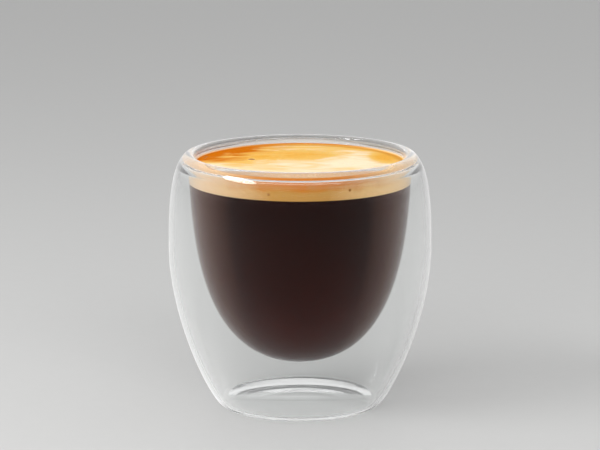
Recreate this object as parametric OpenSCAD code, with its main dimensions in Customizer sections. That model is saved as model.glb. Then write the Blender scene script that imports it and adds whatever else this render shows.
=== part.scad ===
// Double espresso in a small double-walled glass.
// The glass is one blown piece: an egg-shaped outer wall and a deep bowl, joined at the rim
// over a sealed air gap.
// The bowl holds black coffee with a layer of crema on it.
// Millimetres, +Z up, origin under the middle of the foot.

/* [Glass] */
// Height from the table to the crest of the rim
glass_height = 63.2; // [50:0.1:90]
// Largest diameter of the outer wall
glass_diameter = 65; // [60:0.1:90]
// Drop from the crest of the rim to the largest diameter
belly_drop = 23.5; // [18:0.1:30]
// Diameter of the flat that the glass stands on
foot_diameter = 37.4; // [26:0.1:42]
// Radius of the rounding between the foot and the wall
foot_rounding = 2.7; // [2:0.1:4]
// Outward lean of the wall just above the foot, in degrees
foot_lean = 40; // [20:1:55]
// How far the crest of the rim stands in from the largest diameter
rim_inset = 5.4; // [4:0.1:8]
// Radius of the outer side of the rim's roll
rim_rounding = 2.2; // [1.8:0.1:3]
// Radius of the inner side of the rim's roll, from its crest to the bowl's mouth
lip_rounding = 1; // [0.6:0.1:1.4]
// Thickness of the blown walls
wall = 1.3; // [0.9:0.1:1.8]
// Thickness of the outer wall under the bowl
base_thickness = 1.8; // [1:0.1:3]
// Solid glass between the crest of the rim and the top of the air gap
rim_solid = 2; // [1.4:0.1:3]

/* [Bowl] */
// Height of the air gap between the base and the underside of the bowl
floor_gap = 9.3; // [5:0.1:20]
// How far the bowl's side runs straight down before it rounds in, as a share of the depth
bowl_side = 0.66; // [0.4:0.01:0.75]
// How flat the bowl's floor is, as a share of the mouth's radius
bowl_floor = 0.67; // [0.4:0.01:0.8]

/* [Drink] */
// Drop from the crest of the rim to the top of the crema
crema_drop = 2.5; // [1.5:0.1:15]
// Thickness of the crema
crema_thickness = 4.6; // [1:0.1:8]
// How far the crema climbs the wall at its edge
meniscus_height = 0.4; // [0.1:0.1:0.8]
// Width of the climbing edge
meniscus_width = 1.2; // [0.5:0.1:3]

/* [Hidden] */
$fn = 96;

curve_steps = 16;
bowl_steps = 24;
arc_steps = 6;
// A path's points that lie nearer than this to a level cut are left to the cut
cut_margin = 0.01;

foot_radius = foot_diameter / 2;
belly_radius = glass_diameter / 2;
belly_height = glass_height - belly_drop;
rim_radius = belly_radius - rim_inset;
bowl_radius = rim_radius - lip_rounding;
bowl_bottom = base_thickness + floor_gap + wall;
bowl_depth = glass_height - bowl_bottom;

// How strongly each curve of the outer wall holds its end directions
foot_pull = 0.15 * belly_height;
lower_pull = 0.4 * belly_height;
upper_pull = 0.61 * belly_drop;
shoulder_pull = 1.64 * rim_rounding;

// The rim's roll turns over by this angle before the shoulder takes over
rim_turn = 46;

crema_top = glass_height - crema_drop;
coffee_top = crema_top - crema_thickness;

// Height of the arch that closes the air gap under the rim
arch_height = 1.7;
arch_foot = glass_height - rim_solid - arch_height;

// Arc of the given radius about a centre, from one angle to another
function arc(centre, radius, from, to, steps = arc_steps) =
    [for (i = [0:steps]) let (a = from + (to - from) * i / steps) centre + radius * [cos(a), sin(a)]];

// Cubic curve from a to d that leaves a towards b and reaches d from c
function curve(a, b, c, d, steps) =
    [for (i = [0:steps]) let (t = i / steps, s = 1 - t)
        a * s ^ 3 + 3 * b * s ^ 2 * t + 3 * c * s * t ^ 2 + d * t ^ 3];

// A path without its first point, for joining it to the path before
function tail(path) = [for (i = [1:len(path) - 1]) path[i]];

function reversed(path) = [for (i = [len(path) - 1:-1:0]) path[i]];

// Left-hand normal of a path at one of its points
function normal_at(path, i) =
    let (step = path[min(i + 1, len(path) - 1)] - path[max(i - 1, 0)])
    [-step[1], step[0]] / norm(step);

// The path moved sideways to its left
function shifted(path, distance) =
    [for (i = [0:len(path) - 1]) path[i] + distance * normal_at(path, i)];

// Radius of a path at a height
function radius_at(path, height) = lookup(height, [for (p = path) [p[1], p[0]]]);

// The stretch of a rising path below a height, with its end cut level
function below(path, high) = concat(
    [for (p = path) if (p[1] < high - cut_margin) p],
    [[radius_at(path, high), high]]);

// The stretch of a rising path between two heights, with its ends cut level
function between(path, low, high) = concat(
    [[radius_at(path, low), low]],
    [for (p = below(path, high)) if (p[1] > low + cut_margin) p]);

// Outer wall, from the edge of the foot up to the start of the rim's roll
foot_arc = arc([foot_radius, foot_rounding], foot_rounding, -90, -foot_lean);
foot_end = foot_arc[len(foot_arc) - 1];
rim_arc = arc([rim_radius, glass_height - rim_rounding], rim_rounding, 90 - rim_turn, 90);
outer_wall = concat(
    foot_arc,
    tail(curve(foot_end,
        foot_end + foot_pull * [sin(foot_lean), cos(foot_lean)],
        [belly_radius, belly_height - lower_pull],
        [belly_radius, belly_height], curve_steps)),
    tail(curve([belly_radius, belly_height],
        [belly_radius, belly_height + upper_pull],
        rim_arc[0] + shoulder_pull * [sin(90 - rim_turn), -cos(90 - rim_turn)],
        rim_arc[0], curve_steps)));

// Rim, over the crest and down to the bowl's mouth
lip_arc = arc([rim_radius, glass_height - lip_rounding], lip_rounding, 90, 180);
rim = concat(tail(rim_arc), tail(lip_arc));

// Inside of the bowl, from the middle of its floor up to its mouth
mouth = [bowl_radius, glass_height - lip_rounding];
bowl_inside = curve([0, bowl_bottom],
    [bowl_radius * bowl_floor, bowl_bottom],
    mouth - [0, bowl_depth * bowl_side],
    mouth, bowl_steps);

// The two sides of the air gap are the walls' hidden faces
gap_outside = between(shifted(outer_wall, wall), base_thickness, arch_foot);
gap_inside = concat([[0, bowl_bottom - wall]], below(tail(shifted(bowl_inside, -wall)), arch_foot));

// Arch over the top of the gap, from its outer side to its inner side
gap_outer_edge = gap_outside[len(gap_outside) - 1][0];
gap_inner_edge = gap_inside[len(gap_inside) - 1][0];
arch_radius = (gap_outer_edge - gap_inner_edge) / 2;
arch = [for (p = arc([0, 0], 1, 0, 180, 2 * arc_steps)) if (p[1] > cut_margin)
    [gap_inner_edge + arch_radius * (1 + p[0]), arch_foot + arch_height * p[1]]];

// Edge of the crema, which climbs the wall in a quarter wave, from the wall inwards
meniscus_top = crema_top + meniscus_height;
meniscus = [for (i = [0:arc_steps]) let (share = i / arc_steps)
    [radius_at(bowl_inside, meniscus_top) - meniscus_width * share,
        meniscus_top - meniscus_height * sin(90 * share)]];

module glass() {
    color("lightcyan", 0.4)
        difference() {
            rotate_extrude()
                polygon(concat([[0, 0]], outer_wall, rim, tail(reversed(bowl_inside))));
            rotate_extrude()
                polygon(concat([[0, base_thickness]], gap_outside, arch, reversed(gap_inside)));
        }
}

module coffee() {
    color([0.13, 0.06, 0.04])
        rotate_extrude()
            polygon(concat(below(bowl_inside, coffee_top), [[0, coffee_top]]));
}

module crema() {
    color([0.85, 0.62, 0.33])
        rotate_extrude()
            polygon(concat(
                [[0, coffee_top]],
                between(bowl_inside, coffee_top, meniscus_top),
                tail(meniscus),
                [[0, crema_top]]));
}

glass();
coffee();
crema();
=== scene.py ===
"""Double espresso in a double-walled glass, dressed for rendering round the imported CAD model."""

import math
import random

import bmesh
import bpy
from bpy.props import FloatProperty, FloatVectorProperty, IntProperty, PointerProperty
from bpy.types import Operator, Panel, PropertyGroup
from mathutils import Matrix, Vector, noise


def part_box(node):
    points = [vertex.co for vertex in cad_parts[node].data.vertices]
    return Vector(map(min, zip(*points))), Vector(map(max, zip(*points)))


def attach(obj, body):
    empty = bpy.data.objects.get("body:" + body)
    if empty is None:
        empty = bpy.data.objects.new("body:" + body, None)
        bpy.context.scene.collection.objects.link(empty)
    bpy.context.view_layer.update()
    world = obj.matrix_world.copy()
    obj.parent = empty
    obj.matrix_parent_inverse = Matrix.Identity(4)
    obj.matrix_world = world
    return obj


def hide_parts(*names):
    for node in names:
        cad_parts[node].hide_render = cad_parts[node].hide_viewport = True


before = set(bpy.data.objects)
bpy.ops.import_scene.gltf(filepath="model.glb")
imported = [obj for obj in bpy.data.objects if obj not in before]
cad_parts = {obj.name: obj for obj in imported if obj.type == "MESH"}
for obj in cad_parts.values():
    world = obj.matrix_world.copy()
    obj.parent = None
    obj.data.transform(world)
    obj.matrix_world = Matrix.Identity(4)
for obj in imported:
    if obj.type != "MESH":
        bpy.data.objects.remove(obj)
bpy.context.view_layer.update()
GLASS_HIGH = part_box("glass")[1]
CREMA_LOW, CREMA_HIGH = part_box("crema")

bl_info = {
    "name": "Double Espresso",
    "version": (1, 0, 0),
    "blender": (4, 5, 0),
    "location": "View3D > Sidebar > Espresso",
    "description": "Builds a double-walled glass of espresso with crema, and a small studio round it",
    "category": "Object",
}

MM = 0.001
BODY = "root"

# Outer wall: the lean above the foot and the turn of the rim's roll, in degrees
FOOT_LEAN = 40
RIM_TURN = 46
# How far the outer wall's curves hold their end directions: at the foot as a share of the height of
# the largest diameter, above that diameter of its drop, and at the shoulder of the rim's rounding
FOOT_PULL = 0.15
UPPER_PULL = 0.61
SHOULDER_PULL = 1.64
# Where the lower curve turns upright, as a share of the height of the largest diameter
LOWER_HOLD = 0.6

# Bowl: how flat its floor is, as a share of the mouth's radius, and how far its side runs straight
# down, as a share of its depth
BOWL_FLOOR = 0.67
BOWL_SIDE = 0.66

# Steps along each stretch of the outlines
FOOT_STEPS = 10
LOWER_STEPS = 44
UPPER_STEPS = 36
ROLL_STEPS = 14
LIP_STEPS = 10
BOWL_STEPS = 64
ARCH_STEPS = 20
CREMA_EDGE_STEPS = 12
CREMA_TOP_STEPS = 60

# A path's points nearer than this to a level cut are left to the cut, in metres
CUT_MARGIN = 1e-5
# A point nearer to the axis than this lies on it, in metres
ON_AXIS = 1e-7

# The glass's materials, in the order of their slots
WALL, RIM, LIP, GAP = range(4)
# Tint of the walls' head-on reflection. Real glass has 1: this is low so that the drink shows dark
WALL_GLOSS = 0.03
# How far the sides of the air gap wander, and how quickly round the glass and up it
RIPPLE_DEPTH = 0.05 * MM
RIPPLE_ROUND = 1.7
RIPPLE_UP = 1.6
# How far outside the rim's crest the milky lip still reaches
LIP_MARGIN = 0.4 * MM

# Half-profile of a bubble, from its foot to its top: how far out and how far up, in its own radii
BUBBLE_PROFILE = ((1.30, -0.30), (1.28, 0.01), (1.16, 0.09), (1.04, 0.10), (0.92, 0.03),
                  (0.64, 0.13), (0.34, 0.19), (0.0, 0.21))
# The profile's bands from this one up are film on a wet bubble
FILM_START = 4
# A bubble above this radius has more steps round it
FINE_BUBBLE = 0.4 * MM
FINE_STEPS = 20
ROUGH_STEPS = 12
# A bubble is wet from this share of the largest bubble's radius
WET_ON_TOP = 0.45
WET_ON_SIDE = 0.3
# Height of a bubble against the glass, as a share of one on top
SIDE_FLATNESS = 0.25

# The largest bubble's place on the crema's top, in the crema's radius
LARGEST_PLACE = (-0.46, 0.16)
# How many bubbles are in each group, and their sizes as shares of the largest
CLUSTER_BUBBLES = 11
CLUSTER_SIZES = (0.22, 0.5)
EDGE_BUBBLES = 46
EDGE_SIZES = (0.14, 0.34)
TOP_BUBBLES = 40
TOP_SIZES = (0.12, 0.24)
SIDE_BUBBLES = 70
SIDE_SIZES = (0.10, 0.22)
# Where the cluster lies: its angles in degrees, and how far out in the crema's radius
CLUSTER_ANGLES = (158, 172)
CLUSTER_REACH = (0.92, 0.965)
# The edge's bubbles keep this far in from it and thin out inwards over a band, in the crema's radius
EDGE_MARGIN = 0.03
EDGE_BAND = 0.10
EDGE_CROWDING = 1.5
# How far out the top's bubbles reach, in the crema's radius
TOP_REACH = 0.9
# Heights of the bubbles against the glass, as shares of the crema's thickness
SIDE_HEIGHTS = (0.08, 0.92)
# The two larger ones in front: angle in degrees, and height as a share of the thickness
FRONT_BUBBLES = ((-106, 0.32), (-64, 0.48))
FRONT_SIZE = 0.40

# Places on the crema's top that are more golden than the rest, or less where the last value is
# negative: middle across and along, reach across and along, all in the crema's radius, and how much
GOLDEN_PATCHES = (
    (0.02, 0.40, 0.58, 0.34, 0.50),
    (0.82, 0.26, 0.20, 0.42, 0.66),
    (-0.60, 0.30, 0.50, 0.60, 0.42),
    (0.50, 0.20, 0.34, 0.60, -0.26),
)
# How ragged the patches' edges are
PATCH_RAG = 1.2

# Brightness of the surroundings, from the horizon to overhead
AIR_STOPS = ((0.0, 0.37), (0.06, 0.50), (0.18, 0.86), (0.36, 0.78), (0.55, 0.50), (1.0, 0.62))
# Floor: its radius in metres, and how far it lies under the foot
FLOOR_RADIUS = 3.0
FLOOR_DROP = 0.1 * MM
# Enough for light to get through both walls and back
LIGHT_BOUNCES = 24
# Height that the lights face, as a share of the glass's
LIGHT_TARGET = 0.6

# Camera: lens and sensor in millimetres, how far it stands from the glass's middle, its rise over
# that middle in degrees, and the height that it looks at
CAMERA_LENS = 147.6
CAMERA_SENSOR = 36.0
CAMERA_REACH = 611.6 * MM
CAMERA_RISE = 12.9
CAMERA_AIM = 45.0 * MM


# ---------------------------------------------------------------- settings

def length(name, description, millimetres):
    """A length setting, shown in the scene's unit."""
    return FloatProperty(name=name, description=description, default=millimetres * MM,
                         min=0.0, unit="LENGTH", precision=5)


def colour(name, description, value):
    """A colour setting."""
    return FloatVectorProperty(name=name, description=description, default=value,
                               min=0.0, max=1.0, size=3, subtype="COLOR")


class EspressoSizes(PropertyGroup):
    """Sizes of the glass and the drink that the frame's boxes don't give."""

    belly_drop: length("Belly drop", "From the crest of the rim to the largest diameter", 23.5)
    foot_diameter: length("Foot", "Diameter of the flat that the glass stands on", 37.4)
    foot_rounding: length("Foot rounding", "Radius between the foot and the wall", 2.7)
    rim_inset: length("Rim inset", "From the largest radius in to the crest of the rim", 5.4)
    rim_rounding: length("Rim rounding", "Radius of the outer side of the rim's roll", 2.2)
    lip_rounding: length("Lip rounding", "Radius of the inner side of the rim's roll", 1.0)
    wall: length("Wall", "Thickness of the blown walls", 1.3)
    base: length("Base", "Thickness of the outer wall under the bowl", 1.8)
    floor_gap: length("Floor gap", "Air between the base and the bowl", 9.3)
    rim_solid: length("Solid rim", "Solid glass over the top of the air gap", 2.0)
    arch: length("Arch", "Height of the arch that closes the air gap", 1.7)
    meniscus_height: length("Meniscus", "How far the crema climbs the glass", 0.4)
    meniscus_width: length("Meniscus width", "Width of the crema's climbing edge", 1.2)
    into_wall: length("Into the wall", "How far the drink reaches into the glass", 0.12)
    bubble: length("Bubble", "Radius of the largest bubble", 0.95)
    seed: IntProperty(name="Seed", description="Where the bubbles fall", default=7, min=0)
    segments: IntProperty(name="Segments", description="Steps round each turned piece",
                          default=192, min=48, max=256)


class EspressoColours(PropertyGroup):
    """Colours of the drink and the studio."""

    coffee: colour("Coffee", "Coffee just under the crema", (0.0100, 0.0024, 0.0018))
    # Painted reddish glow of light, low in the bowl
    painted_low_glow: colour("Coffee glow", "Coffee low in the bowl",
                        (0.046, 0.0055, 0.0028))
    # Painted paler glow of light, at the left and right
    painted_side_glow: colour("Coffee at the sides", "Coffee towards the left and right",
                        (0.085, 0.030, 0.018))
    cream: colour("Cream", "Palest foam, mostly in front", (0.87, 0.72, 0.50))
    light_gold: colour("Light gold", "Pale golden foam", (0.78, 0.47, 0.13))
    gold: colour("Gold", "Deep golden foam, behind and in patches", (0.76, 0.38, 0.06))
    amber: colour("Amber", "Darkest foam, in an arc along the back left edge", (0.56, 0.14, 0.005))
    edge_gold: colour("Edge gold", "Foam where it climbs the glass", (0.58, 0.26, 0.045))
    # Foam colour with painted light: paler at the left and right ends against the glass
    left_foam_and_painted_light: colour("Side cream", "Foam against the glass, on the left", (0.76, 0.54, 0.34))
    right_foam_and_painted_light: colour("Side gold", "Foam against the glass, on the right", (0.93, 0.64, 0.34))
    side_tan: colour("Side tan", "Foam against the glass, low in the middle", (0.48, 0.25, 0.065))
    side_brown: colour("Side brown", "Foam against the glass, high in the middle", (0.52, 0.155, 0.006))
    film: colour("Bubble film", "Film over the larger bubbles", (0.34, 0.135, 0.03))
    floor: colour("Floor", "Studio floor", (0.45, 0.45, 0.445))


# ---------------------------------------------------------------- outlines

def arc(centre, radius, start, end, steps):
    """Points of an arc about centre, from one angle to the other, in degrees."""
    angles = [math.radians(start + (end - start) * i / steps) for i in range(steps + 1)]
    return [Vector((centre[0] + radius * math.cos(a), centre[1] + radius * math.sin(a))) for a in angles]


def curve(a, b, c, d, steps):
    """Points of a cubic curve that leaves a towards b and reaches d from c."""
    a, b, c, d = (Vector(p) for p in (a, b, c, d))
    points = []
    for i in range(steps + 1):
        t = i / steps
        s = 1 - t
        points.append(a * s ** 3 + b * (3 * s * s * t) + c * (3 * s * t * t) + d * t ** 3)
    return points


def shifted(path, distance):
    """The path moved sideways to its left."""
    moved = []
    for i, p in enumerate(path):
        step = path[min(i + 1, len(path) - 1)] - path[max(i - 1, 0)]
        moved.append(p + distance * Vector((-step.y, step.x)).normalized())
    return moved


def radius_at(path, height):
    """Radius of a rising path at a height."""
    for p, q in zip(path, path[1:]):
        if p.y <= height <= q.y and q.y > p.y:
            return p.x + (q.x - p.x) * (height - p.y) / (q.y - p.y)
    return path[-1].x


def between(path, low, high):
    """The stretch of a rising path between two heights, with its ends cut level."""
    inner = [p for p in path if low + CUT_MARGIN < p.y < high - CUT_MARGIN]
    return [Vector((radius_at(path, low), low))] + inner + [Vector((radius_at(path, high), high))]


def outlines(sizes):
    """The half-outlines of the glass: its skin, the air gap and the inside of the bowl."""
    height, radius = GLASS_HIGH.z, GLASS_HIGH.x
    belly_z = height - sizes.belly_drop
    rim_r = radius - sizes.rim_inset
    bowl_r = rim_r - sizes.lip_rounding
    bowl_z = sizes.base + sizes.floor_gap + sizes.wall
    lean = math.radians(FOOT_LEAN)
    roll = math.radians(90 - RIM_TURN)

    foot = arc((sizes.foot_diameter / 2, sizes.foot_rounding), sizes.foot_rounding,
               -90, -FOOT_LEAN, FOOT_STEPS)
    roll_out = arc((rim_r, height - sizes.rim_rounding), sizes.rim_rounding,
                   90 - RIM_TURN, 90, ROLL_STEPS)
    lower = curve(foot[-1], foot[-1] + FOOT_PULL * belly_z * Vector((math.sin(lean), math.cos(lean))),
                  (radius, LOWER_HOLD * belly_z), (radius, belly_z), LOWER_STEPS)
    shoulder = roll_out[0] + SHOULDER_PULL * sizes.rim_rounding * Vector((math.sin(roll), -math.cos(roll)))
    upper = curve((radius, belly_z), (radius, belly_z + UPPER_PULL * sizes.belly_drop),
                  shoulder, roll_out[0], UPPER_STEPS)
    wall_out = foot + lower[1:] + upper[1:]
    lip = arc((rim_r, height - sizes.lip_rounding), sizes.lip_rounding, 90, 180, LIP_STEPS)

    mouth = Vector((bowl_r, height - sizes.lip_rounding))
    bowl = curve((0, bowl_z), (BOWL_FLOOR * bowl_r, bowl_z),
                 mouth - Vector((0, BOWL_SIDE * (height - bowl_z))), mouth, BOWL_STEPS)

    spring = height - sizes.rim_solid - sizes.arch
    gap_out = between(shifted(wall_out, sizes.wall), sizes.base, spring)
    gap_in = [Vector((0, bowl_z - sizes.wall))]
    gap_in += [p for p in shifted(bowl, -sizes.wall)[1:] if p.y < spring - CUT_MARGIN]
    half = (gap_out[-1].x - gap_in[-1].x) / 2
    arch = [Vector((gap_in[-1].x + half * (1 + p.x), spring + sizes.arch * p.y))
            for p in arc((0, 0), 1, 0, 180, ARCH_STEPS)][1:-1]

    skin = [Vector((0, 0))] + wall_out + roll_out[1:] + lip[1:] + bowl[::-1][1:]
    gap = [Vector((0, sizes.base))] + gap_out + arch + gap_in[::-1]
    return skin, gap, bowl


def drink_side(sizes):
    """Inside of the bowl, moved a little into the wall, where the drink's pieces end."""
    return shifted(outlines(sizes)[2], -sizes.into_wall)


# ---------------------------------------------------------------- meshes

def turn_outline(bm, outline, segments, inward=False, ripple=None):
    """Adds the outline turned about Z to bm. Its two ends lie on the axis."""
    rings = []
    for p in outline:
        if p.x < ON_AXIS:
            rings.append([bm.verts.new((0, 0, p.y))])
            continue
        ring = []
        for k in range(segments):
            angle = 2 * math.pi * k / segments
            r, z = (p.x, p.y) if ripple is None else ripple(p.x, p.y, angle)
            ring.append(bm.verts.new((r * math.cos(angle), r * math.sin(angle), z)))
        rings.append(ring)
    for low, high in zip(rings, rings[1:]):
        for k in range(segments):
            after = (k + 1) % segments
            if len(low) == 1:
                corners = [low[0], high[after], high[k]]
            elif len(high) == 1:
                corners = [low[k], low[after], high[0]]
            else:
                corners = [low[k], low[after], high[after], high[k]]
            bm.faces.new(corners[::-1] if inward else corners)


def blow_bubble(bm, place, normal, size, wet, height=1.0):
    """Adds one bubble to bm: a raised ring round a low dome, which is a dark film where it's wet."""
    steps = FINE_STEPS if size > FINE_BUBBLE else ROUGH_STEPS
    side = normal.orthogonal().normalized()
    across = normal.cross(side)
    rings = []
    for out, up in BUBBLE_PROFILE:
        centre = place + normal * (up * height * size)
        if out == 0:
            rings.append([bm.verts.new(centre)])
            continue
        ring = []
        for k in range(steps):
            angle = 2 * math.pi * k / steps
            outwards = side * math.cos(angle) + across * math.sin(angle)
            ring.append(bm.verts.new(centre + outwards * out * size))
        rings.append(ring)
    bm.faces.new(rings[0][::-1])
    for i, (low, high) in enumerate(zip(rings, rings[1:])):
        for k in range(steps):
            after = (k + 1) % steps
            corners = [low[k], low[after], high[0]]
            if len(high) > 1:
                corners = [low[k], low[after], high[after], high[k]]
            bm.faces.new(corners).material_index = int(wet and i >= FILM_START)


def make_piece(name, bm, material, node=None):
    """Turns bm into a smooth piece of the object, riding on its body."""
    mesh = bpy.data.meshes.new(name)
    bm.to_mesh(mesh)
    bm.free()
    mesh.polygons.foreach_set("use_smooth", [True] * len(mesh.polygons))
    piece = bpy.data.objects.new(name, mesh)
    bpy.context.scene.collection.objects.link(piece)
    piece.data.materials.append(material)
    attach(piece, BODY)
    if node:
        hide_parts(node)
    return piece


# ---------------------------------------------------------------- node helpers

def set_stops(bar, stops):
    """Gives a colour ramp its stops, each a place with a grey or a colour."""
    while len(bar.elements) < len(stops):
        bar.elements.new(0.5)
    for element, (place, value) in zip(bar.elements, stops):
        element.position = place
        element.color = (*value, 1) if hasattr(value, "__len__") else (value, value, value, 1)


class Shader:
    """A material's node tree with short ways to add and join nodes."""

    def __init__(self, name):
        self.material = bpy.data.materials.new(name)
        self.material.use_nodes = True
        self.tree = self.material.node_tree
        self.tree.nodes.clear()
        self.output = self.add("ShaderNodeOutputMaterial")

    def add(self, kind, **settings):
        """A new node with the given settings."""
        node = self.tree.nodes.new(kind)
        for key, value in settings.items():
            setattr(node, key, value)
        return node

    def join(self, source, target):
        """Links an output to an input."""
        self.tree.links.new(source, target)

    def noise(self, coordinates, scale, detail=4.0, roughness=0.55, distortion=0.0):
        """Soft noise from 0 to 1."""
        node = self.add("ShaderNodeTexNoise")
        node.inputs["Scale"].default_value = scale
        node.inputs["Detail"].default_value = detail
        node.inputs["Roughness"].default_value = roughness
        node.inputs["Distortion"].default_value = distortion
        self.join(coordinates, node.inputs["Vector"])
        return node.outputs["Fac"]

    def ramp(self, factor, stops):
        """A grey or a colour that follows the factor through the stops."""
        node = self.add("ShaderNodeValToRGB")
        set_stops(node.color_ramp, stops)
        self.join(factor, node.inputs["Fac"])
        return node.outputs["Color"]

    def maths(self, operation, a, b=0.0):
        """The result of an operation on one or two values."""
        node = self.add("ShaderNodeMath", operation=operation)
        for socket, value in zip(node.inputs, (a, b)):
            if isinstance(value, (int, float)):
                socket.default_value = value
            else:
                self.join(value, socket)
        return node.outputs[0]

    def plus(self, a, b, share):
        """a with a share of b added."""
        return self.maths("ADD", a, self.maths("MULTIPLY", b, share))

    def distance(self, a, b):
        """How far the point a, b is from the middle."""
        squares = self.maths("ADD", self.maths("MULTIPLY", a, a), self.maths("MULTIPLY", b, b))
        return self.maths("SQRT", squares)

    def blend(self, factor, a, b):
        """Colour a turning into colour b as the factor grows."""
        node = self.add("ShaderNodeMix", data_type="RGBA")
        for socket, value in ((node.inputs[0], factor), (node.inputs[6], a), (node.inputs[7], b)):
            if isinstance(value, bpy.types.NodeSocket):
                self.join(value, socket)
            elif isinstance(value, (int, float)):
                socket.default_value = value
            else:
                socket.default_value = (*value, 1)
        return node.outputs[2]

    def place(self):
        """Object coordinates, and their three parts."""
        coordinates = self.add("ShaderNodeTexCoord").outputs["Object"]
        parts = self.add("ShaderNodeSeparateXYZ")
        self.join(coordinates, parts.inputs[0])
        return coordinates, parts.outputs["X"], parts.outputs["Y"], parts.outputs["Z"]


# ---------------------------------------------------------------- materials

def glass_material(name, gloss, clearness=1.0, edge_glow=0.0, spread=0.35):
    """Clear glass with the faint unevenness of blown glass. Light reaches the drink through it.

    gloss tints the head-on reflection, and clearness is the share of light that goes through.
    edge_glow is the strength of a milky sheen at the edges, which real glass doesn't have, and
    spread is its width."""
    s = Shader(name)
    coordinates = s.place()[0]
    surface = s.add("ShaderNodeBsdfPrincipled")
    surface.inputs["Base Color"].default_value = (0.985, 0.992, 0.99, 1)
    surface.inputs["Transmission Weight"].default_value = clearness
    surface.inputs["IOR"].default_value = 1.47
    surface.inputs["Specular Tint"].default_value = (gloss, gloss, gloss, 1)
    surface.inputs["Roughness"].default_value = 0.0
    surface.inputs["Sheen Weight"].default_value = edge_glow
    surface.inputs["Sheen Roughness"].default_value = spread
    bump = s.add("ShaderNodeBump")
    bump.inputs["Strength"].default_value = 0.04
    bump.inputs["Distance"].default_value = 0.4 * MM
    s.join(s.noise(coordinates, 70.0, detail=1.0), bump.inputs["Height"])
    s.join(bump.outputs[0], surface.inputs["Normal"])
    clear = s.add("ShaderNodeBsdfTransparent")
    clear.inputs["Color"].default_value = (0.95, 0.955, 0.955, 1)
    path = s.add("ShaderNodeLightPath")
    shader = surface.outputs[0]
    for ray in ("Is Diffuse Ray", "Is Shadow Ray"):
        mix = s.add("ShaderNodeMixShader")
        s.join(path.outputs[ray], mix.inputs[0])
        s.join(shader, mix.inputs[1])
        s.join(clear.outputs[0], mix.inputs[2])
        shader = mix.outputs[0]
    s.join(shader, s.output.inputs["Surface"])
    return s.material


def coffee_material(colours):
    """Near-black coffee with a painted reddish glow of light towards the bottom of the bowl. It's browner
    towards -X and +X by its place, whatever the light: a painted paler glow of light at its sides."""
    s = Shader("black_coffee")
    coordinates, x, y, z = s.place()
    depth = s.maths("DIVIDE", z, CREMA_LOW.z)
    cloud = s.noise(coordinates, 60.0, detail=2.0)
    depth = s.plus(depth, s.maths("SUBTRACT", cloud, 0.5), 0.25)
    # Painted reddish glow of light towards the bottom of the bowl
    glow_share = s.ramp(depth, [(0.25, 1.0), (0.50, 0.42), (0.72, 0.12), (0.88, 0.0)])
    body = s.blend(glow_share, tuple(colours.coffee), tuple(colours.painted_low_glow))
    # Painted paler glow of light towards -X and +X
    sideways = s.maths("DIVIDE", s.maths("ABSOLUTE", x), s.maths("MAXIMUM", s.distance(x, y), 1.0 * MM))
    body = s.blend(s.ramp(sideways, [(0.60, 0.0), (1.0, 1.0)]), body, tuple(colours.painted_side_glow))
    surface = s.add("ShaderNodeBsdfPrincipled")
    s.join(body, surface.inputs["Base Color"])
    s.join(s.ramp(cloud, [(0.3, 0.08), (0.7, 0.16)]), surface.inputs["Roughness"])
    surface.inputs["Specular IOR Level"].default_value = 0.0
    surface.inputs["Sheen Weight"].default_value = 0.4
    surface.inputs["Sheen Roughness"].default_value = 0.35
    surface.inputs["Sheen Tint"].default_value = (0.85, 0.52, 0.42, 1)
    s.join(surface.outputs[0], s.output.inputs["Surface"])
    return s.material


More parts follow.
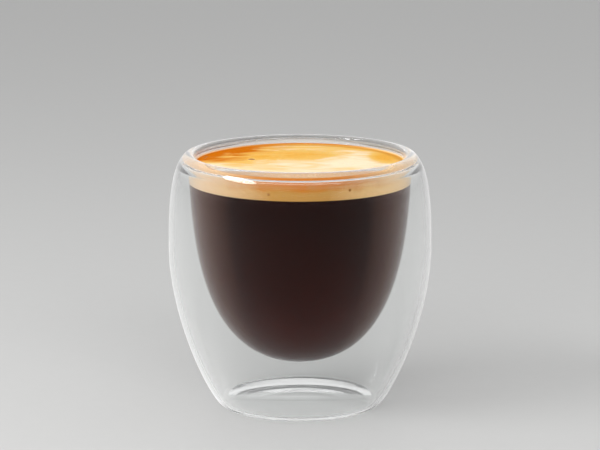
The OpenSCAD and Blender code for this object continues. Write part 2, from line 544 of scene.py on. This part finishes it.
def crema_material(colours):
    """Fine foam, coloured by its place. On top it's cream in front and golden behind, with an amber
    arc along the back left edge. Against the glass it's tan, paler to the left and right by painted
    light, with a brown streak high in the middle."""
    s = Shader("crema_foam")
    coordinates, x, y, z = s.place()
    radius = CREMA_HIGH.x
    u = s.maths("DIVIDE", x, radius)
    v = s.maths("DIVIDE", y, radius)
    w = s.maths("DIVIDE", s.maths("SUBTRACT", z, CREMA_LOW.z), CREMA_HIGH.z - CREMA_LOW.z)
    out = s.distance(u, v)

    stretch = s.add("ShaderNodeMapping")
    stretch.inputs["Rotation"].default_value = (0, 0, math.radians(-9))
    stretch.inputs["Scale"].default_value = (0.55, 1.1, 1.0)
    s.join(coordinates, stretch.inputs["Vector"])
    stretched = s.noise(stretch.outputs[0], 110.0, detail=4.0, roughness=0.5, distortion=1.6)
    streak = s.maths("SUBTRACT", stretched, 0.5)
    swirl = s.maths("SUBTRACT", s.noise(coordinates, 95.0, detail=5.0, roughness=0.6, distortion=1.5), 0.5)
    froth = s.maths("SUBTRACT", s.noise(coordinates, 1300.0, detail=3.0, roughness=0.6), 0.5)

    def patch(u_middle, v_middle, u_reach, v_reach):
        """How near to a patch's middle, with a ragged edge."""
        across = s.maths("DIVIDE", s.maths("SUBTRACT", u, u_middle), u_reach)
        along = s.maths("DIVIDE", s.maths("SUBTRACT", v, v_middle), v_reach)
        far = s.plus(s.distance(across, along), swirl, PATCH_RAG)
        return s.ramp(far, [(0.2, 1.0), (1.0, 0.0)])

    # Top: how golden, then its edge, then the amber arc
    golden = s.plus(s.maths("MULTIPLY", v, 0.26), streak, 1.1)
    golden = s.plus(golden, froth, 0.22)
    golden = s.maths("ADD", golden, 0.26)
    for *where, strength in GOLDEN_PATCHES:
        golden = s.plus(golden, patch(*where), strength)
    top = s.ramp(golden, [(0.05, tuple(colours.cream)), (0.5, tuple(colours.light_gold)),
                          (0.95, tuple(colours.gold))])
    edge = s.ramp(s.plus(out, swirl, 0.06), [(0.915, 0.0), (0.960, 0.85)])
    top = s.blend(edge, top, tuple(colours.edge_gold))
    rag = s.plus(s.maths("MULTIPLY", swirl, 0.55), streak, 0.55)
    ring = s.ramp(s.maths("ADD", out, rag), [(0.60, 0.0), (0.84, 1.0)])
    behind = s.ramp(s.plus(v, rag, 0.6), [(0.0, 0.0), (0.20, 1.0)])
    leftward = s.ramp(s.maths("SUBTRACT", s.maths("MULTIPLY", rag, 0.6), u), [(0.04, 0.0), (0.50, 1.0)])
    amber = s.maths("MULTIPLY", s.maths("MULTIPLY", ring, behind), leftward)
    top = s.blend(amber, top, tuple(colours.amber))

    # Side: paler to the left and right by painted light, browner high in the middle
    place = s.maths("MULTIPLY", s.maths("ADD", u, 1.0), 0.5)
    # The left and right ends are the foam's colour made paler by painted light
    across = s.ramp(place, [(0.06, tuple(colours.left_foam_and_painted_light)), (0.38, tuple(colours.side_tan)),
                            (0.62, tuple(colours.side_tan)), (0.94, tuple(colours.right_foam_and_painted_light))])
    high = s.ramp(s.plus(w, swirl, 0.9), [(0.36, 0.0), (0.62, 1.0)])
    middle = s.ramp(s.maths("ABSOLUTE", s.maths("SUBTRACT", u, 0.06)), [(0.25, 1.0), (0.75, 0.12)])
    side = s.blend(s.maths("MULTIPLY", high, middle), across, tuple(colours.side_brown))
    body = s.blend(s.ramp(out, [(0.985, 0.0), (0.993, 1.0)]), top, side)

    grain = s.ramp(s.maths("ADD", froth, 0.5), [(0.3, 0.90), (0.7, 1.0)])
    tint = s.add("ShaderNodeMix", data_type="RGBA", blend_type="MULTIPLY")
    tint.inputs[0].default_value = 1.0
    s.join(body, tint.inputs[6])
    s.join(grain, tint.inputs[7])

    surface = s.add("ShaderNodeBsdfPrincipled")
    s.join(tint.outputs[2], surface.inputs["Base Color"])
    s.join(s.ramp(s.maths("ADD", froth, 0.5), [(0.3, 0.50), (0.7, 0.36)]), surface.inputs["Roughness"])
    surface.inputs["Specular IOR Level"].default_value = 0.0
    surface.inputs["Subsurface Weight"].default_value = 0.15
    surface.inputs["Subsurface Radius"].default_value = (1.0, 0.55, 0.25)
    surface.inputs["Subsurface Scale"].default_value = 0.6 * MM
    bump = s.add("ShaderNodeBump")
    bump.inputs["Strength"].default_value = 0.30
    bump.inputs["Distance"].default_value = 0.08 * MM
    s.join(froth, bump.inputs["Height"])
    s.join(bump.outputs[0], surface.inputs["Normal"])
    s.join(surface.outputs[0], s.output.inputs["Surface"])
    return s.material


def film_material(colours):
    """Thin wet brown film over a bubble."""
    s = Shader("bubble_film")
    coordinates = s.place()[0]
    tone = tuple(colours.film)
    surface = s.add("ShaderNodeBsdfPrincipled")
    mottle = s.noise(coordinates, 2200.0, detail=2.0)
    s.join(s.ramp(mottle, [(0.3, tuple(0.7 * c for c in tone)), (0.7, tone)]), surface.inputs["Base Color"])
    surface.inputs["Roughness"].default_value = 0.12
    surface.inputs["Specular IOR Level"].default_value = 0.1
    s.join(surface.outputs[0], s.output.inputs["Surface"])
    return s.material


def floor_material(colours):
    """Matt pale table with a very slight grain and a faint glow of its own."""
    s = Shader("light_table")
    coordinates = s.place()[0]
    surface = s.add("ShaderNodeBsdfPrincipled")
    grain = s.noise(coordinates, 240.0, detail=3.0)
    tone = tuple(colours.floor)
    s.join(s.ramp(grain, [(0.3, tuple(0.985 * c for c in tone)), (0.7, tone)]), surface.inputs["Base Color"])
    surface.inputs["Roughness"].default_value = 0.55
    surface.inputs["Emission Color"].default_value = (1.0, 1.0, 1.0, 1)
    surface.inputs["Emission Strength"].default_value = 0.07
    s.join(surface.outputs[0], s.output.inputs["Surface"])
    return s.material


def studio_air():
    """A dim horizon, a brighter band above it, and softer light overhead."""
    world = bpy.data.worlds.new("studio_air")
    world.use_nodes = True
    tree = world.node_tree
    background = tree.nodes["Background"]
    parts = tree.nodes.new("ShaderNodeSeparateXYZ")
    tree.links.new(tree.nodes.new("ShaderNodeTexCoord").outputs["Generated"], parts.inputs[0])
    ramp = tree.nodes.new("ShaderNodeValToRGB")
    set_stops(ramp.color_ramp, AIR_STOPS)
    tree.links.new(parts.outputs["Z"], ramp.inputs["Fac"])
    tree.links.new(ramp.outputs["Color"], background.inputs["Color"])
    return world


# ---------------------------------------------------------------- operators

class ESPRESSO_OT_glass(Operator):
    """Turn the double-walled glass about its axis, with its sealed air gap"""

    bl_idname = "espresso.glass"
    bl_label = "Glass"

    def execute(self, context):
        sizes = context.scene.espresso_sizes
        skin, gap = outlines(sizes)[:2]
        bm = bmesh.new()
        turn_outline(bm, skin, sizes.segments)
        skin_faces = len(bm.faces)

        def ripple(r, z, angle):
            """The air gap's side, moved in or out a little."""
            place = Vector((math.cos(angle), math.sin(angle), z / GLASS_HIGH.z * RIPPLE_UP)) * RIPPLE_ROUND
            return r + RIPPLE_DEPTH * noise.noise(place), z

        turn_outline(bm, gap, sizes.segments, inward=True, ripple=ripple)
        bm.faces.index_update()
        bm.normal_update()
        rim_low = GLASS_HIGH.z - sizes.rim_solid - sizes.arch
        lip_out = GLASS_HIGH.x - sizes.rim_inset + LIP_MARGIN
        for face in bm.faces:
            middle = face.calc_center_median()
            on_rim = middle.z > rim_low
            faces_in = face.normal.xy.dot(middle.xy) <= 0
            on_lip = middle.z > CREMA_LOW.z and middle.xy.length < lip_out and faces_in
            if on_rim:
                face.material_index = LIP if on_lip else RIM
            else:
                face.material_index = GAP if face.index >= skin_faces else WALL
        wall = glass_material("clear_wall", WALL_GLOSS, edge_glow=1.0, spread=0.38)
        rim = glass_material("clear_rim", 1.0, edge_glow=0.9, spread=0.42)
        lip = glass_material("clear_lip", 1.0, clearness=0.88, edge_glow=0.6, spread=0.42)
        gap_side = glass_material("clear_gap", WALL_GLOSS)
        piece = make_piece("blown_glass", bm, wall, "glass")
        for material in (rim, lip, gap_side):
            piece.data.materials.append(material)
        return {"FINISHED"}


class ESPRESSO_OT_coffee(Operator):
    """Fill the bowl with coffee up to the crema"""

    bl_idname = "espresso.coffee"
    bl_label = "Coffee"

    def execute(self, context):
        sizes = context.scene.espresso_sizes
        bowl = drink_side(sizes)
        side = between(bowl[1:], bowl[1].y, CREMA_LOW.z)
        outline = [Vector((0, bowl[0].y))] + side + [Vector((0, CREMA_LOW.z))]
        bm = bmesh.new()
        turn_outline(bm, outline, sizes.segments)
        make_piece("coffee_body", bm, coffee_material(context.scene.espresso_colours), "coffee")
        return {"FINISHED"}


class ESPRESSO_OT_crema(Operator):
    """Lay the crema on the coffee, with its edge climbing the glass"""

    bl_idname = "espresso.crema"
    bl_label = "Crema"

    def execute(self, context):
        sizes = context.scene.espresso_sizes
        bowl = drink_side(sizes)
        high = CREMA_HIGH.z
        low = high - sizes.meniscus_height
        side = between(bowl, CREMA_LOW.z, high)
        edge = [Vector((side[-1].x - sizes.meniscus_width * i / CREMA_EDGE_STEPS,
                        high - sizes.meniscus_height * math.sin(math.pi / 2 * i / CREMA_EDGE_STEPS)))
                for i in range(1, CREMA_EDGE_STEPS + 1)]
        inner = [Vector((edge[-1].x * (1 - i / CREMA_TOP_STEPS), low))
                 for i in range(1, CREMA_TOP_STEPS + 1)]
        outline = [Vector((0, CREMA_LOW.z))] + side + edge + inner
        bm = bmesh.new()
        turn_outline(bm, outline, sizes.segments)
        make_piece("crema_layer", bm, crema_material(context.scene.espresso_colours), "crema")
        return {"FINISHED"}


class ESPRESSO_OT_bubbles(Operator):
    """Scatter bubbles over the crema, along its edge and against the glass"""

    bl_idname = "espresso.bubbles"
    bl_label = "Bubbles"

    def execute(self, context):
        sizes, colours = context.scene.espresso_sizes, context.scene.espresso_colours
        bowl = outlines(sizes)[2]
        rng = random.Random(sizes.seed)
        top = CREMA_HIGH.z - sizes.meniscus_height
        radius = CREMA_HIGH.x
        start = radius - sizes.meniscus_width
        bm = bmesh.new()

        def on_top(x, y, size):
            """A bubble on the crema's top, raised where the top climbs the glass."""
            out = math.hypot(x, y)
            share = min(max((out - start) / sizes.meniscus_width, 0.0), 1.0)
            z = top + sizes.meniscus_height * (1 - math.cos(math.pi / 2 * share))
            blow_bubble(bm, Vector((x, y, z)), Vector((0, 0, 1)), size, size > WET_ON_TOP * sizes.bubble)

        def on_side(angle, z, size):
            """A bubble that lies flat against the inside of the glass."""
            out = radius_at(bowl[1:], z) + sizes.into_wall
            normal = Vector((math.cos(angle), math.sin(angle), 0))
            wet = size > WET_ON_SIDE * sizes.bubble
            blow_bubble(bm, normal * out + Vector((0, 0, z)), normal, size, wet, SIDE_FLATNESS)

        # The largest bubble, a cluster at the left edge, the rest of the edge, and the top
        on_top(LARGEST_PLACE[0] * radius, LARGEST_PLACE[1] * radius, sizes.bubble)
        for _ in range(CLUSTER_BUBBLES):
            angle = math.radians(rng.uniform(*CLUSTER_ANGLES))
            out = rng.uniform(*CLUSTER_REACH) * radius
            on_top(out * math.cos(angle), out * math.sin(angle), sizes.bubble * rng.uniform(*CLUSTER_SIZES))
        for _ in range(EDGE_BUBBLES):
            angle = rng.uniform(0, 2 * math.pi)
            out = (1 - EDGE_BAND * rng.random() ** EDGE_CROWDING - EDGE_MARGIN) * radius
            on_top(out * math.cos(angle), out * math.sin(angle), sizes.bubble * rng.uniform(*EDGE_SIZES))
        for _ in range(TOP_BUBBLES):
            angle = rng.uniform(0, 2 * math.pi)
            out = TOP_REACH * radius * math.sqrt(rng.random())
            on_top(out * math.cos(angle), out * math.sin(angle), sizes.bubble * rng.uniform(*TOP_SIZES))
        # Against the glass: two in front, and small ones all round
        depth = top - CREMA_LOW.z
        for angle, height in FRONT_BUBBLES:
            on_side(math.radians(angle), CREMA_LOW.z + height * depth, FRONT_SIZE * sizes.bubble)
        for _ in range(SIDE_BUBBLES):
            z = CREMA_LOW.z + depth * rng.uniform(*SIDE_HEIGHTS)
            on_side(rng.uniform(0, 2 * math.pi), z, sizes.bubble * rng.uniform(*SIDE_SIZES))

        piece = make_piece("crema_bubbles", bm, crema_material(colours))
        piece.data.materials.append(film_material(colours))
        return {"FINISHED"}


class ESPRESSO_OT_studio(Operator):
    """Set up the floor, the soft lights, the surroundings and the camera"""

    bl_idname = "espresso.studio"
    bl_label = "Studio"

    def execute(self, context):
        scene = context.scene
        mesh = bpy.data.meshes.new("floor")
        bm = bmesh.new()
        bmesh.ops.create_circle(bm, cap_ends=True, segments=96, radius=FLOOR_RADIUS)
        bmesh.ops.translate(bm, verts=bm.verts, vec=(0, 0, -FLOOR_DROP))
        bm.to_mesh(mesh)
        bm.free()
        floor = bpy.data.objects.new("floor", mesh)
        scene.collection.objects.link(floor)
        floor.data.materials.append(floor_material(scene.espresso_colours))

        scene.world = studio_air()
        self.softbox(scene, "key_box", towards=(-0.66, -0.27, 0.63), distance=0.60,
                     size=(0.36, 0.13), radiance=12.0, rounded=True)
        front = self.softbox(scene, "front_box", towards=(0.0, -0.82, 0.55), distance=0.75,
                             size=(1.10, 0.35), radiance=4.2)
        front.visible_glossy = False
        scene.view_settings.view_transform = "Standard"
        scene.cycles.max_bounces = LIGHT_BOUNCES
        scene.cycles.transmission_bounces = LIGHT_BOUNCES
        scene.cycles.transparent_max_bounces = LIGHT_BOUNCES

        camera_data = bpy.data.cameras.new("camera")
        camera_data.lens = CAMERA_LENS
        camera_data.sensor_width = CAMERA_SENSOR
        camera = bpy.data.objects.new("camera", camera_data)
        scene.collection.objects.link(camera)
        middle = GLASS_HIGH.z / 2
        rise = math.radians(CAMERA_RISE)
        camera.location = (0, -CAMERA_REACH * math.cos(rise), middle + CAMERA_REACH * math.sin(rise))
        aim = Vector((0, 0, CAMERA_AIM))
        camera.rotation_mode = "QUATERNION"
        camera.rotation_quaternion = (aim - camera.location).to_track_quat("-Z", "Y")
        camera_data.clip_start = 0.01
        camera_data.clip_end = 20.0
        scene.camera = camera
        return {"FINISHED"}

    def softbox(self, scene, name, towards, distance, size, radiance, rounded=False):
        """A soft light, oblong or rounded, that faces the glass from a direction."""
        light = bpy.data.lights.new(name, "AREA")
        light.shape = "ELLIPSE" if rounded else "RECTANGLE"
        light.size, light.size_y = size
        light.energy = radiance * math.pi * size[0] * size[1]
        box = bpy.data.objects.new(name, light)
        target = Vector((0, 0, GLASS_HIGH.z * LIGHT_TARGET))
        box.location = target + Vector(towards).normalized() * distance
        box.rotation_mode = "QUATERNION"
        box.rotation_quaternion = (target - box.location).to_track_quat("-Z", "Y")
        box.visible_camera = False
        scene.collection.objects.link(box)
        return box


class ESPRESSO_PT_panel(Panel):
    """The glass, the drink and the studio, in the order they are built"""

    bl_label = "Double Espresso"
    bl_idname = "ESPRESSO_PT_panel"
    bl_space_type = "VIEW_3D"
    bl_region_type = "UI"
    bl_category = "Espresso"

    def draw(self, context):
        for settings in (context.scene.espresso_sizes, context.scene.espresso_colours):
            column = self.layout.column()
            for name in settings.__annotations__:
                column.prop(settings, name)
        for step in STEPS:
            self.layout.operator(step.bl_idname)


STEPS = (ESPRESSO_OT_studio, ESPRESSO_OT_glass, ESPRESSO_OT_coffee, ESPRESSO_OT_crema, ESPRESSO_OT_bubbles)
CLASSES = (EspressoSizes, EspressoColours, *STEPS, ESPRESSO_PT_panel)


def register():
    """Adds the classes and the scene's settings."""
    for cls in CLASSES:
        bpy.utils.register_class(cls)
    bpy.types.Scene.espresso_sizes = PointerProperty(type=EspressoSizes)
    bpy.types.Scene.espresso_colours = PointerProperty(type=EspressoColours)


def unregister():
    """Takes them away again."""
    del bpy.types.Scene.espresso_colours
    del bpy.types.Scene.espresso_sizes
    for cls in reversed(CLASSES):
        bpy.utils.unregister_class(cls)


def main():
    register()
    bpy.ops.espresso.studio()
    bpy.ops.espresso.glass()
    bpy.ops.espresso.coffee()
    bpy.ops.espresso.crema()
    bpy.ops.espresso.bubbles()


if __name__ == "__main__":
    main()
